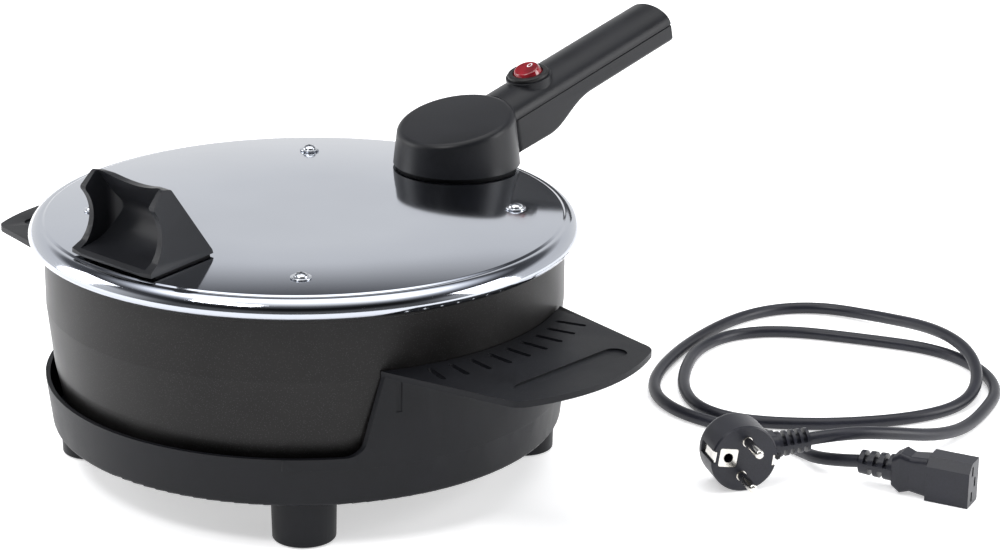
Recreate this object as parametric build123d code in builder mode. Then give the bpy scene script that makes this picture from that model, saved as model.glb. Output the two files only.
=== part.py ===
from build123d import *
import os
from math import cos, sin, tan, pi, radians, degrees

# A portable electric covered baking pan. The heater sits in a polished lid with a long handle
# and a lit switch; the food lies in a round non-stick pan; the pan stands in a plastic stand
# with two side handles and four feet; a detachable mains lead lies beside it.
# Frame: origin on the floor on the stand's axis, +Z up, +X along one side handle, +Y along the
# long handle. Millimetres.

os.makedirs("parts", exist_ok=True)

# ---------------------------------------------------------------- driving dimensions
FOOT_HEIGHT = 24.5
FOOT_RADIUS = 16.2
FOOT_CIRCLE = 116.5
FOOT_ANGLES = (45, 135, 225, 315)
PAD_THICKNESS = 1.8

TRAY_FLOOR = 2.8
TRAY_TOP = 51.0
TRAY_RADIUS = 139.1
TRAY_FOOT_RADIUS = 136.0
TRAY_WALL = 2.3
SIDE_WALL_RADIUS = 140.5
SIDE_WALL_HALF_BASE = 75.0
SIDE_WALL_HALF_TOP = 65.5

PLATE_TOP = 95.0
PLATE_THICKNESS = 3.2
PLATE_REACH = 210.0
PLATE_CORNER = (197.0, 51.0)
PLATE_ROOT = (118.0, 67.0)
SLOT_COUNT = 9
SLOT_STEP = 4.8
SLOT_START, SLOT_END, SLOT_WIDTH = 143.0, 160.0, 3.0
THUMB_LENGTH, THUMB_WIDTH, THUMB_DEPTH, THUMB_AT = 78.0, 12.5, 1.0, 187.0
PAN_REST = 2.7

PAN_BOTTOM = 30.2
PAN_RADIUS = 137.3
PAN_WALL = 2.2
PAN_RIM_TOP = 125.4
PAN_RIM_RADIUS = 138.7

LID_TOP = 136.0
LID_FLAT = 132.0
LID_RADIUS = 145.0
LID_BEAD = 129.4
LID_SHEET = 0.8
FLANGE_LOW = 125.6
REFLECTOR_FLOOR = 119.5
LID_SCREW_CIRCLE = 111.0

ELEMENT_RADIUS = 95.0
ELEMENT_TUBE = 3.25
ELEMENT_HEIGHT = 112.0
ELEMENT_ELBOW = 7.0
ELEMENT_TOP = 147.0

HUB = (0.0, 116.5)
HUB_RADIUS = 35.4
HUB_BOTTOM = 137.4
HUB_DRAFT = 6.3
HUB_WALL = 2.6
HUB_HOLE = (0.0, 104.0, 18.0)

HANDLE_SLOPE = 13.0
SEAM_AT_HUB = 150.8
HANDLE_END = 171.0
HANDLE_HALF = 16.2
ARCH_HEIGHT = 10.0
HANDLE_DEPTH = 11.0
HANDLE_WALL = 1.5
HUB_CAP = 11.6
SWITCH_AT = 63.0
BEZEL_RADIUS = 11.8
SWITCH_HOLE = 9.9

GRIP_HALF_FRONT, GRIP_HALF_BACK = 30.0, 22.0
GRIP_FRONT, GRIP_BACK = -134.5, -85.0
GRIP_BASE = 137.4

CORD_DIAMETER = 7.0

# Plug: face centre, the way its pins point, the way its neck leaves
PLUG_FACE = Vector(208.1, 115.9, 18.6)
PLUG_PINS = Vector(0.843, -0.538, 0.0)
PLUG_ROLL = 8.4
PLUG_RADIUS = 18.3
PLUG_DEPTH = 24.0
NECK_LENGTH = 21.0
PLUG_RELIEF = 18.0
NECK_RISE = 4.4
NECK_SET_BACK = 11.0

# Connector: centre of its slotted face, and its azimuth
CONNECTOR_FACE = Vector(304.6, 185.0, 12.0)
CONNECTOR_AZIMUTH = 15.0
CONNECTOR_HIGH = 23.6
CONNECTOR_WIDE = 15.4
CONNECTOR_BLOCK = 23.5
CONNECTOR_GRIP = 19.0
CONNECTOR_RELIEF = 19.0


def save(made, name):
    """Label one finished sub-part and write its STEP."""
    made.part.label = name
    export_step(made.part, f"parts/{name}.step")
    return made.part


def on_circle(radius, angle):
    return (radius * cos(radians(angle)), radius * sin(radians(angle)))


# ---------------------------------------------------------------- stand
with BuildPart() as side_wall_limits:
    # seen along X: the outline of a raised wall, with a hollow round at its foot
    with BuildSketch(Plane.YZ.offset(-160)) as wall_outline:
        with BuildLine():
            Polyline(
                (-SIDE_WALL_HALF_BASE - 30, TRAY_TOP - 8),
                (-SIDE_WALL_HALF_BASE - 30, TRAY_TOP),
                (-SIDE_WALL_HALF_BASE, TRAY_TOP),
                (-SIDE_WALL_HALF_TOP, PLATE_TOP),
                (SIDE_WALL_HALF_TOP, PLATE_TOP),
                (SIDE_WALL_HALF_BASE, TRAY_TOP),
                (SIDE_WALL_HALF_BASE + 30, TRAY_TOP),
                (SIDE_WALL_HALF_BASE + 30, TRAY_TOP - 8),
                close=True,
            )
        make_face()
        feet_of_wall = [
            v for v in wall_outline.vertices()
            if abs(abs(v.Y) - TRAY_TOP) < 0.1 and abs(abs(v.X) - SIDE_WALL_HALF_BASE) < 0.1
        ]
        fillet(feet_of_wall, radius=9)
        tops_of_wall = wall_outline.vertices().group_by(Axis.Y)[-1]
        fillet(tops_of_wall, radius=5)
    extrude(amount=320)

with BuildPart() as side_walls:
    with BuildSketch(Plane.XZ):
        with BuildLine():
            Polyline(
                (TRAY_RADIUS, TRAY_TOP - 6),
                (SIDE_WALL_RADIUS, PLATE_TOP),
                (SIDE_WALL_RADIUS - TRAY_WALL, PLATE_TOP),
                (TRAY_RADIUS - TRAY_WALL, TRAY_TOP - 6),
                close=True,
            )
        make_face()
    revolve(axis=Axis.Z)
    add(side_wall_limits.part, mode=Mode.INTERSECT)

with BuildPart() as stand:
    with BuildSketch(Plane.XZ) as tray_section:
        with BuildLine():
            Polyline(
                (0, FOOT_HEIGHT),
                (TRAY_FOOT_RADIUS, FOOT_HEIGHT),
                (TRAY_RADIUS, TRAY_TOP),
                (TRAY_RADIUS - TRAY_WALL, TRAY_TOP),
                (TRAY_FOOT_RADIUS - TRAY_WALL, FOOT_HEIGHT + TRAY_FLOOR),
                (0, FOOT_HEIGHT + TRAY_FLOOR),
                close=True,
            )
        make_face()
        outer_foot = tray_section.vertices().filter_by(
            lambda v: abs(v.X - TRAY_FOOT_RADIUS) < 0.01
        )
        fillet(outer_foot, radius=2.5)
    revolve(axis=Axis.Z)
    # bosses over the feet carry the pan clear of the tray floor
    with BuildSketch(Plane.XY.offset(FOOT_HEIGHT)):
        with PolarLocations(FOOT_CIRCLE - 22, 4, start_angle=45):
            Circle(9)
    extrude(amount=TRAY_FLOOR + PAN_REST)
    add(side_walls.part)
    # flat side handles
    with BuildSketch(Plane.XY.offset(PLATE_TOP - PLATE_THICKNESS)):
        for side in (1, -1):
            with BuildLine():
                Polyline(
                    (side * PLATE_CORNER[0], -PLATE_CORNER[1]),
                    (side * PLATE_ROOT[0], -PLATE_ROOT[1]),
                    (side * PLATE_ROOT[0], PLATE_ROOT[1]),
                    (side * PLATE_CORNER[0], PLATE_CORNER[1]),
                )
                ThreePointArc(
                    (side * PLATE_CORNER[0], PLATE_CORNER[1]),
                    (side * PLATE_REACH, 0),
                    (side * PLATE_CORNER[0], -PLATE_CORNER[1]),
                )
            make_face()
        Circle(SIDE_WALL_RADIUS - TRAY_WALL + 0.1, mode=Mode.SUBTRACT)
    extrude(amount=PLATE_THICKNESS)
    plate_corners = stand.edges().filter_by(Axis.Z).filter_by(
        lambda e: abs(abs(e.center().X) - PLATE_CORNER[0]) < 0.5
    )
    fillet(plate_corners, radius=10)
    # short upright grooves in the raised walls, under each end of the slots
    with BuildSketch(Plane.XY.offset(73)):
        with PolarLocations(SIDE_WALL_RADIUS, 2, start_angle=-25, angular_range=100):
            Rectangle(2.2, 3)
        with PolarLocations(SIDE_WALL_RADIUS, 2, start_angle=155, angular_range=100):
            Rectangle(2.2, 3)
    extrude(amount=17, mode=Mode.SUBTRACT)
    # cooling slots through both handles
    with BuildSketch(Plane.XY.offset(PLATE_TOP)):
        for side_angle in (0, 180):
            first = side_angle - SLOT_STEP * (SLOT_COUNT - 1) / 2
            middle = (SLOT_START + SLOT_END) / 2
            with PolarLocations(middle, SLOT_COUNT, first, SLOT_STEP * SLOT_COUNT):
                SlotOverall(SLOT_END - SLOT_START, SLOT_WIDTH)
    extrude(amount=-PLATE_THICKNESS, mode=Mode.SUBTRACT)
    # shallow thumb rest near each handle's edge
    with BuildSketch(Plane.XY.offset(PLATE_TOP)):
        with Locations((THUMB_AT, 0), (-THUMB_AT, 0)):
            SlotOverall(THUMB_LENGTH, THUMB_WIDTH, rotation=90)
    extrude(amount=-THUMB_DEPTH, mode=Mode.SUBTRACT)
    # screw holes into the feet
    with Locations(*[
        (*on_circle(FOOT_CIRCLE, a), FOOT_HEIGHT + TRAY_FLOOR) for a in FOOT_ANGLES
    ]):
        CounterSinkHole(radius=2.1, counter_sink_radius=4.2, depth=TRAY_FLOOR)
save(stand, "stand")

for number, angle in enumerate(FOOT_ANGLES, start=1):
    centre = on_circle(FOOT_CIRCLE, angle)
    with BuildPart() as foot:
        with BuildSketch(Plane.XY.offset(0.6)):
            with Locations(centre):
                Circle(FOOT_RADIUS)
        extrude(amount=FOOT_HEIGHT - 0.6, taper=-1.2)
        bottom_edge = foot.edges().group_by(Axis.Z)[0]
        fillet(bottom_edge, radius=1.0)
        with BuildSketch(Plane.XY.offset(0.6)):
            with Locations(centre):
                Circle(FOOT_RADIUS - 3)
        extrude(amount=PAD_THICKNESS - 0.6, mode=Mode.SUBTRACT)
        with Locations((*centre, FOOT_HEIGHT)):
            Hole(radius=1.5, depth=14)
    save(foot, f"foot_{number}")

with BuildPart() as foot_pads:
    with BuildSketch(Plane.XY):
        with PolarLocations(FOOT_CIRCLE, 4, start_angle=45):
            Circle(FOOT_RADIUS - 3.1)
    extrude(amount=PAD_THICKNESS)
save(foot_pads, "foot_pads")

with BuildPart() as foot_screws:
    with BuildSketch(Plane.XY.offset(FOOT_HEIGHT + TRAY_FLOOR)):
        with PolarLocations(FOOT_CIRCLE, 4, start_angle=45):
            Circle(4.0)
    extrude(amount=-2.0, taper=45)
    with BuildSketch(Plane.XY.offset(FOOT_HEIGHT + TRAY_FLOOR)):
        with PolarLocations(FOOT_CIRCLE, 4, start_angle=45):
            Circle(1.4)
    extrude(amount=-14.0)
save(foot_screws, "foot_screws")

# ---------------------------------------------------------------- pan
with BuildPart() as pan_shell:
    with BuildSketch(Plane.XZ) as pan_section:
        with BuildLine():
            Polyline(
                (0, PAN_BOTTOM),
                (128.5, PAN_BOTTOM),
                (134.2, 60),
                (PAN_RADIUS, 91),
                (PAN_RADIUS, PAN_RIM_TOP - 3.2),
                (PAN_RIM_RADIUS, PAN_RIM_TOP - 2.6),
                (PAN_RIM_RADIUS, PAN_RIM_TOP),
                (PAN_RADIUS - PAN_WALL, PAN_RIM_TOP),
                (PAN_RADIUS - PAN_WALL, 91),
                (134.2 - PAN_WALL, 60),
                (126.8, PAN_BOTTOM + PAN_WALL),
                (0, PAN_BOTTOM + PAN_WALL),
                close=True,
            )
        make_face()
        fillet(pan_section.vertices().filter_by(
            lambda v: abs(v.X - 128.5) < 0.01), radius=14)
        fillet(pan_section.vertices().filter_by(
            lambda v: abs(v.X - 126.8) < 0.01), radius=12)
        fillet(pan_section.vertices().filter_by(
            lambda v: v.X > PAN_RIM_RADIUS - 0.01 and v.Y > PAN_RIM_TOP - 0.1), radius=1.2)
    revolve(axis=Axis.Z)
save(pan_shell, "pan_shell")

# ---------------------------------------------------------------- lid sheet metal
GRIP_SCREWS = ((-13.0, -108.0), (13.0, -108.0))
HUB_SCREWS = ((-25.0, 110.0), (25.0, 110.0), (0.0, 127.0))
LID_SCREW_POINTS = [on_circle(LID_SCREW_CIRCLE, a) for a in FOOT_ANGLES]
# the ring stops short of the back; each leg stands one elbow further, along the ring's tangent
RING_START = Vector(17.0, (ELEMENT_RADIUS ** 2 - 17.0 ** 2) ** 0.5, 0)
LEG = RING_START + Vector(-RING_START.Y, RING_START.X, 0).normalized() * ELEMENT_ELBOW
ELEMENT_ENDS = ((LEG.X, LEG.Y), (-LEG.X, LEG.Y))

with BuildPart() as lid_shell:
    with BuildSketch(Plane.XZ):
        inner = LID_SHEET
        with BuildLine():
            Line((0, LID_TOP), (LID_FLAT, LID_TOP))
            ThreePointArc((LID_FLAT, LID_TOP), (140.9, 133.35), (LID_RADIUS, LID_BEAD))
            ThreePointArc((LID_RADIUS, LID_BEAD), (144.0, 125.9), (140.4, 124.6))
            Line((140.4, 124.6), (140.4, 124.6 + inner))
            ThreePointArc(
                (140.4, 124.6 + inner), (143.4, 126.5), (LID_RADIUS - inner, LID_BEAD))
            ThreePointArc(
                (LID_RADIUS - inner, LID_BEAD), (140.4, 132.7), (LID_FLAT, LID_TOP - inner))
            Line((LID_FLAT, LID_TOP - inner), (0, LID_TOP - inner))
            Line((0, LID_TOP - inner), (0, LID_TOP))
        make_face()
    revolve(axis=Axis.Z)
    with Locations(*[(x, y, LID_TOP) for x, y in LID_SCREW_POINTS]):
        Hole(radius=2.3, depth=4)
    with Locations(*[(x, y, LID_TOP) for x, y in GRIP_SCREWS + HUB_SCREWS]):
        Hole(radius=1.8, depth=4)
    with Locations((HUB_HOLE[0], HUB_HOLE[1], LID_TOP)):
        Hole(radius=HUB_HOLE[2], depth=4)
save(lid_shell, "lid_shell")

with BuildPart() as reflector_plate:
    with BuildSketch(Plane.XZ) as reflector_section:
        with BuildLine():
            Polyline(
                (0, REFLECTOR_FLOOR),
                (132.6, REFLECTOR_FLOOR),
                (132.6, FLANGE_LOW),
                (142.6, FLANGE_LOW + 0.5),
                (142.6, FLANGE_LOW + 1.1),
                (131.8, FLANGE_LOW + 0.8),
                (131.8, REFLECTOR_FLOOR + 0.8),
                (0, REFLECTOR_FLOOR + 0.8),
                close=True,
            )
        make_face()
    revolve(axis=Axis.Z)
    with Locations(*[(x, y, REFLECTOR_FLOOR + 0.8) for x, y in LID_SCREW_POINTS]):
        Hole(radius=2.3, depth=4)
    with Locations(*[(x, y, REFLECTOR_FLOOR + 0.8) for x, y in ELEMENT_ENDS]):
        Hole(radius=ELEMENT_TUBE + 0.6, depth=4)
save(reflector_plate, "reflector_plate")

# ---------------------------------------------------------------- heater inside the lid
with BuildPart() as heating_element:
    # one bent tube: up through the lid, an elbow, the open ring, an elbow, and up again
    right_leg, left_leg = (Vector(x, y, ELEMENT_HEIGHT) for x, y in ELEMENT_ENDS)
    up = Vector(0, 0, 1)
    with BuildLine() as element_path:
        for leg, side in ((left_leg, -1), (right_leg, 1)):
            start = Vector(side * RING_START.X, RING_START.Y, ELEMENT_HEIGHT)
            turn_centre = leg + up * ELEMENT_ELBOW
            halfway = (start - leg).normalized() * (ELEMENT_ELBOW * sin(pi / 4))
            Line(leg + up * (ELEMENT_TOP - ELEMENT_HEIGHT), turn_centre)
            ThreePointArc(
                turn_centre,
                start + up * ELEMENT_ELBOW + halfway * -1 - up * (ELEMENT_ELBOW * sin(pi / 4)),
                start,
            )
        ThreePointArc(
            (-RING_START.X, RING_START.Y, ELEMENT_HEIGHT),
            (0, -ELEMENT_RADIUS, ELEMENT_HEIGHT),
            (RING_START.X, RING_START.Y, ELEMENT_HEIGHT),
        )
    with BuildSketch(Plane(origin=left_leg + up * (ELEMENT_TOP - ELEMENT_HEIGHT), z_dir=-up)):
        Circle(ELEMENT_TUBE)
    sweep(path=element_path.wires()[0])
save(heating_element, "heating_element")

with BuildPart() as element_clips:
    clip_depth = REFLECTOR_FLOOR - 107.4
    with BuildSketch(Plane.XY.offset(REFLECTOR_FLOOR)):
        with PolarLocations(ELEMENT_RADIUS, 3, start_angle=30):
            Rectangle(15, 8)
    extrude(amount=-clip_depth)
    with BuildSketch(Plane.XY.offset(REFLECTOR_FLOOR)):
        with PolarLocations(ELEMENT_RADIUS, 3, start_angle=30):
            Rectangle(13.4, 8)
    extrude(amount=1 - clip_depth, mode=Mode.SUBTRACT)
save(element_clips, "element_clips")

with BuildPart() as insulation_disc:
    with BuildSketch(Plane.XY.offset(REFLECTOR_FLOOR + 0.9)):
        Circle(62)
    extrude(amount=12)
save(insulation_disc, "insulation_disc")

with BuildPart() as thermostat:
    # snap disc in a cup, with two tabs on top
    with BuildSketch(Plane.XY.offset(REFLECTOR_FLOOR + 0.9)):
        with Locations((0, 73)):
            Circle(8)
    extrude(amount=7)
    with Locations((-4, 73, REFLECTOR_FLOOR + 7.9), (4, 73, REFLECTOR_FLOOR + 7.9)):
        Box(0.8, 6, 6, align=(Align.CENTER, Align.CENTER, Align.MIN))
save(thermostat, "thermostat")

# ---------------------------------------------------------------- lid fasteners
WASHER = 1.0
with BuildPart() as lid_washers:
    with BuildSketch(Plane.XY.offset(LID_TOP)):
        with Locations(*LID_SCREW_POINTS):
            Circle(6.0)
            Circle(2.3, mode=Mode.SUBTRACT)
    extrude(amount=WASHER)
save(lid_washers, "lid_washers")

with BuildPart() as lid_screws:
    with BuildSketch(Plane.XY.offset(LID_TOP + WASHER)):
        with Locations(*LID_SCREW_POINTS):
            Circle(4.5)
    extrude(amount=3.2)
    fillet(lid_screws.edges().group_by(Axis.Z)[-1], radius=1.8)
    with BuildSketch(Plane.XY.offset(LID_TOP + WASHER + 3.2)):
        with Locations(*LID_SCREW_POINTS):
            Rectangle(4.6, 1.0)
            Rectangle(1.0, 4.6)
    extrude(amount=-1.6, mode=Mode.SUBTRACT)
    with BuildSketch(Plane.XY.offset(LID_TOP + WASHER)):
        with Locations(*LID_SCREW_POINTS):
            Circle(2.0)
    extrude(amount=-(LID_TOP + WASHER - 114.5))
save(lid_screws, "lid_screws")

with BuildPart() as lid_nuts:
    with BuildSketch(Plane.XY.offset(REFLECTOR_FLOOR)):
        with Locations(*LID_SCREW_POINTS):
            RegularPolygon(4.0, 6)
            Circle(2.05, mode=Mode.SUBTRACT)
    extrude(amount=-3.2)
save(lid_nuts, "lid_nuts")

with BuildPart() as lid_spacers:
    with BuildSketch(Plane.XY.offset(REFLECTOR_FLOOR + 0.8)):
        with Locations(*LID_SCREW_POINTS):
            Circle(4.0)
            Circle(2.3, mode=Mode.SUBTRACT)
    extrude(amount=LID_TOP - LID_SHEET - REFLECTOR_FLOOR - 0.8)
save(lid_spacers, "lid_spacers")


def screws_from_below(points, head_top, head_radius, head_height, shank_radius, reach):
    """Pan-head screws that point up; head_top is where the head meets the sheet."""
    with BuildPart() as screws:
        with BuildSketch(Plane.XY.offset(head_top)):
            with Locations(*points):
                Circle(head_radius)
        extrude(amount=-head_height)
        with BuildSketch(Plane.XY.offset(head_top)):
            with Locations(*points):
                Circle(shank_radius)
        extrude(amount=reach)
    return screws


save(screws_from_below(GRIP_SCREWS, LID_TOP - LID_SHEET, 3.2, 2.2, 1.5, 12), "grip_screws")
save(screws_from_below(HUB_SCREWS, LID_TOP - LID_SHEET, 3.2, 2.2, 1.5, 12), "hub_screws")

# ---------------------------------------------------------------- front grip
with BuildPart() as grip_hollow:
    # the finger hollow: a round trough along X, open to the front, its far corners round
    with BuildSketch(Plane.YZ.offset(-25)):
        with BuildLine():
            Line((-122.0, 183.0), (-109.0, 163.0))
            Spline((-109.0, 163.0), (-111.8, 148.5), (-131.5, 140.4),
                   tangents=((0.545, -0.838), (-1, -0.2)))
            Polyline((-131.5, 140.4), (-150, 140.4), (-150, 183.0), (-122.0, 183.0))
        make_face()
    extrude(amount=50)
    with BuildSketch(Plane.XY.offset(140)):
        with Locations((0, -131)):
            RectangleRounded(49, 48, 8)
    extrude(amount=44, taper=1.0, mode=Mode.INTERSECT)

with BuildPart() as front_grip:
    with BuildSketch(Plane.YZ.offset(-34)) as grip_profile:
        with BuildLine():
            Polyline(
                (GRIP_FRONT + 0.5, GRIP_BASE),
                (GRIP_BACK, GRIP_BASE),
                (GRIP_BACK - 0.6, GRIP_BASE + 2),
                (-114.5, 177.8),
                (-121.0, 179.2),
                (-128.5, 171.0),
            )
            ThreePointArc((-128.5, 171.0), (-123.0, 156.0), (-128.0, 143.0))
            Line((-128.0, 143.0), (GRIP_FRONT, GRIP_BASE + 1.4))
            Line((GRIP_FRONT, GRIP_BASE + 1.4), (GRIP_FRONT + 0.5, GRIP_BASE))
        make_face()
        peaks = grip_profile.vertices().filter_by(lambda v: v.Y > 170)
        fillet(peaks, radius=2.2)
    extrude(amount=68)
    # plan outline: wider in front, sides leaning in towards the top
    with BuildSketch(Plane.XY.offset(GRIP_BASE)):
        with BuildLine():
            Polyline(
                (GRIP_HALF_FRONT, GRIP_FRONT + 1.5),
                (GRIP_HALF_BACK, GRIP_BACK),
                (-GRIP_HALF_BACK, GRIP_BACK),
                (-GRIP_HALF_FRONT, GRIP_FRONT + 1.5),
            )
            ThreePointArc(
                (-GRIP_HALF_FRONT, GRIP_FRONT + 1.5), (0, GRIP_FRONT - 1.5),
                (GRIP_HALF_FRONT, GRIP_FRONT + 1.5))
        make_face()
    extrude(amount=46, taper=2.0, mode=Mode.INTERSECT)
    add(grip_hollow.part, mode=Mode.SUBTRACT)
    # the top edge dips between the two cheeks
    with BuildSketch(Plane.XZ.offset(90)):
        with BuildLine():
            ThreePointArc((-23, 179.6), (0, 175.6), (23, 179.6))
            Polyline((23, 179.6), (23, 190), (-23, 190), (-23, 179.6))
        make_face()
    extrude(amount=50, mode=Mode.SUBTRACT)
    with Locations(*[Plane((x, y, GRIP_BASE), z_dir=(0, 0, -1)) for x, y in GRIP_SCREWS]):
        Hole(radius=1.6, depth=11)
save(front_grip, "front_grip")

with BuildPart() as grip_gasket:
    with BuildSketch(Plane.XY.offset(LID_TOP)):
        with BuildLine():
            Polyline(
                (GRIP_HALF_FRONT - 2.5, -128.0),
                (GRIP_HALF_BACK - 1.2, GRIP_BACK - 1.2),
                (-GRIP_HALF_BACK + 1.2, GRIP_BACK - 1.2),
                (-GRIP_HALF_FRONT + 2.5, -128.0),
                close=True,
            )
        make_face()
        with Locations(*GRIP_SCREWS):
            Circle(1.8, mode=Mode.SUBTRACT)
    extrude(amount=GRIP_BASE - LID_TOP)
save(grip_gasket, "grip_gasket")

# ---------------------------------------------------------------- hub and long handle
slope_cos, slope_sin = cos(radians(HANDLE_SLOPE)), sin(radians(HANDLE_SLOPE))
# handle_plane: x across, y along the handle away from the hub, z square to the seam
handle_plane = Plane(
    origin=(HUB[0], HUB[1], SEAM_AT_HUB), x_dir=(1, 0, 0), z_dir=(0, -slope_sin, slope_cos))


def along(x, reach, height):
    """A point given across, along and above the handle's seam."""
    return handle_plane.from_local_coords(Vector(x, reach, height))


def section_plane(reach):
    """Square to the handle at this reach; its normal points back to the hub."""
    return Plane(origin=along(0, reach, 0), x_dir=(1, 0, 0), z_dir=(0, -slope_cos, -slope_sin))


def profile_plane(x):
    """Upright plane at x, holding the handle's side view."""
    return Plane(origin=along(x, 0, 0), x_dir=(0, slope_cos, slope_sin), z_dir=(1, 0, 0))


def drum(inset, cap):
    """The hub's round drum under its tilted top, grown inwards by inset."""
    with BuildPart() as made:
        with BuildSketch(Plane.XY.offset(HUB_BOTTOM)):
            with Locations(HUB):
                Circle(HUB_RADIUS - inset)
        extrude(amount=45, taper=HUB_DRAFT)
        cut = Plane(origin=along(0, 0, cap), x_dir=(1, 0, 0), z_dir=(0, -slope_sin, slope_cos))
        split(bisect_by=cut, keep=Keep.BOTTOM)
    return made


def arch(half, height, start, end):
    """The handle's rounded upper half, as a solid."""
    with BuildPart() as made:
        with BuildSketch(section_plane(end)):
            Ellipse(half, height)
            with Locations((0, -height / 2)):
                Rectangle(2 * half, height, mode=Mode.SUBTRACT)
        extrude(amount=end - start)
    return made


HANDLE_SCREWS = (108.0, 138.0)
with BuildPart() as hub_cover:
    add(drum(0, HUB_CAP).part)
    crown = hub_cover.faces().filter_by(
        lambda f: f.normal_at().Z > 0.9).sort_by(Axis.Z)[-1]
    fillet(crown.edges(), radius=4)
    add(drum(HUB_WALL, HUB_CAP - HUB_WALL).part, mode=Mode.SUBTRACT)
    # the way through for the wires
    add(arch(HANDLE_HALF - HANDLE_WALL, ARCH_HEIGHT - HANDLE_WALL, 20, 50).part,
        mode=Mode.SUBTRACT)
    with BuildSketch(Plane.XY.offset(LID_TOP + 0.1)):
        with Locations(*HUB_SCREWS):
            Circle(3.3)
    extrude(amount=13)
    with Locations(*[Plane((x, y, LID_TOP + 0.1), z_dir=(0, 0, -1)) for x, y in HUB_SCREWS]):
        Hole(radius=1.6, depth=11.6)
save(hub_cover, "hub_cover")

with BuildPart() as handle_upper_shell:
    add(arch(HANDLE_HALF, ARCH_HEIGHT, 24, HANDLE_END).part)
    # round boss that carries the switch
    with BuildSketch(handle_plane.offset(0.2)):
        with Locations((0, SWITCH_AT)):
            Circle(BEZEL_RADIUS + 1.2)
    extrude(amount=11.0)
    add(arch(HANDLE_HALF - HANDLE_WALL, ARCH_HEIGHT - HANDLE_WALL, 20, HANDLE_END).part,
        mode=Mode.SUBTRACT)
    # its near end follows the hub
    add(drum(-0.1, HUB_CAP + 6).part, mode=Mode.SUBTRACT)
    with BuildSketch(handle_plane):
        with Locations((0, SWITCH_AT)):
            Circle(SWITCH_HOLE)
    extrude(amount=14, mode=Mode.SUBTRACT)
    with BuildSketch(handle_plane.offset(-4)):
        with Locations(*[(0, s) for s in HANDLE_SCREWS]):
            Circle(3.4)
    extrude(amount=ARCH_HEIGHT + 3)
    for reach in HANDLE_SCREWS:
        with Locations(Plane(along(0, reach, -4), z_dir=(0, slope_sin, -slope_cos))):
            Hole(radius=1.6, depth=10)
save(handle_upper_shell, "handle_upper_shell")


def belly(inset, floor_rise, start, end):
    """The handle's lower half: deep by the hub, sweeping up to a slim grip."""
    deep = -21.0 + floor_rise
    slim = -HANDLE_DEPTH + floor_rise
    with BuildPart() as made:
        with BuildSketch(profile_plane(-HANDLE_HALF + inset)):
            with BuildLine():
                Line((start, 0), (start, deep))
                Line((start, deep), (58, deep - 0.8))
                Spline((58, deep - 0.8), (74, slim - 6.6), (97, slim),
                       tangents=((1, 0), (1, 0.02)))
                Polyline((97, slim), (end, slim), (end, 0), (start, 0))
            make_face()
        extrude(amount=2 * (HANDLE_HALF - inset))
    return made


with BuildPart() as handle_lower_shell:
    add(belly(0, 0, 31.5, HANDLE_END).part)
    long_edges = handle_lower_shell.edges().filter_by(
        lambda e: abs(abs(e.center().X) - HANDLE_HALF) < 0.01
        and handle_plane.to_local_coords(e.center()).Z < -8
        and handle_plane.to_local_coords(e.center()).Y > 22
    )
    fillet(long_edges, radius=3.0)
    # shadow groove along the seam
    with BuildSketch(section_plane(HANDLE_END)):
        with Locations((-HANDLE_HALF, -0.35), (HANDLE_HALF, -0.35)):
            Rectangle(1.5, 0.7)
    extrude(amount=HANDLE_END - 20, mode=Mode.SUBTRACT)
    add(belly(HANDLE_WALL, 1.4, 30, HANDLE_END).part, mode=Mode.SUBTRACT)
    # saddle round the hub's drum
    add(drum(-0.1, HUB_CAP + 1).part, mode=Mode.SUBTRACT)
    with BuildSketch(handle_plane.offset(-HANDLE_DEPTH + 0.4)):
        with Locations(*[(0, s) for s in HANDLE_SCREWS]):
            Circle(4.4)
    extrude(amount=HANDLE_DEPTH - 4.5)
    for reach in HANDLE_SCREWS:
        with Locations(Plane(along(0, reach, -HANDLE_DEPTH), z_dir=(0, slope_sin, -slope_cos))):
            CounterBoreHole(radius=1.8, counter_bore_radius=3.3, counter_bore_depth=3.5, depth=7)
save(handle_lower_shell, "handle_lower_shell")

with BuildPart() as handle_screws:
    for reach in HANDLE_SCREWS:
        with BuildSketch(handle_plane.offset(-HANDLE_DEPTH + 0.8)):
            with Locations((0, reach)):
                Circle(3.0)
        extrude(amount=2.6)
        with BuildSketch(handle_plane.offset(-HANDLE_DEPTH + 0.8)):
            with Locations((0, reach)):
                Circle(1.5)
        extrude(amount=14)
        with BuildSketch(handle_plane.offset(-HANDLE_DEPTH + 0.8)):
            with Locations((0, reach)):
                Rectangle(3.4, 0.8)
                Rectangle(0.8, 3.4)
        extrude(amount=1.2, mode=Mode.SUBTRACT)
save(handle_screws, "handle_screws")

with BuildPart() as hub_gasket:
    with BuildSketch(Plane.XY.offset(LID_TOP)):
        with Locations(HUB):
            Circle(HUB_RADIUS - 1.6)
            Circle(HUB_RADIUS - 6, mode=Mode.SUBTRACT)
    extrude(amount=HUB_BOTTOM - LID_TOP)
save(hub_gasket, "hub_gasket")

# ---------------------------------------------------------------- switch
PIVOT = 10.5
BALL = 8.6
REST_TILT = 9.0
BEZEL_TOP = 13.4
with BuildPart() as switch_housing:
    with BuildSketch(handle_plane.offset(-7)):
        with Locations((0, SWITCH_AT)):
            Circle(SWITCH_HOLE - 0.3)
    extrude(amount=18.3)
    with BuildSketch(handle_plane.offset(11.3)):
        with Locations((0, SWITCH_AT)):
            Circle(BEZEL_RADIUS)
    extrude(amount=BEZEL_TOP - 11.3)
    fillet(switch_housing.edges().sort_by(Axis(along(0, 0, 0), handle_plane.z_dir))[-1],
           radius=1.2)
    with BuildSketch(handle_plane.offset(2.6)):
        with Locations((0, SWITCH_AT)):
            Circle(BALL + 0.2)
    extrude(amount=14, mode=Mode.SUBTRACT)
save(switch_housing, "switch_housing")

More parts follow.
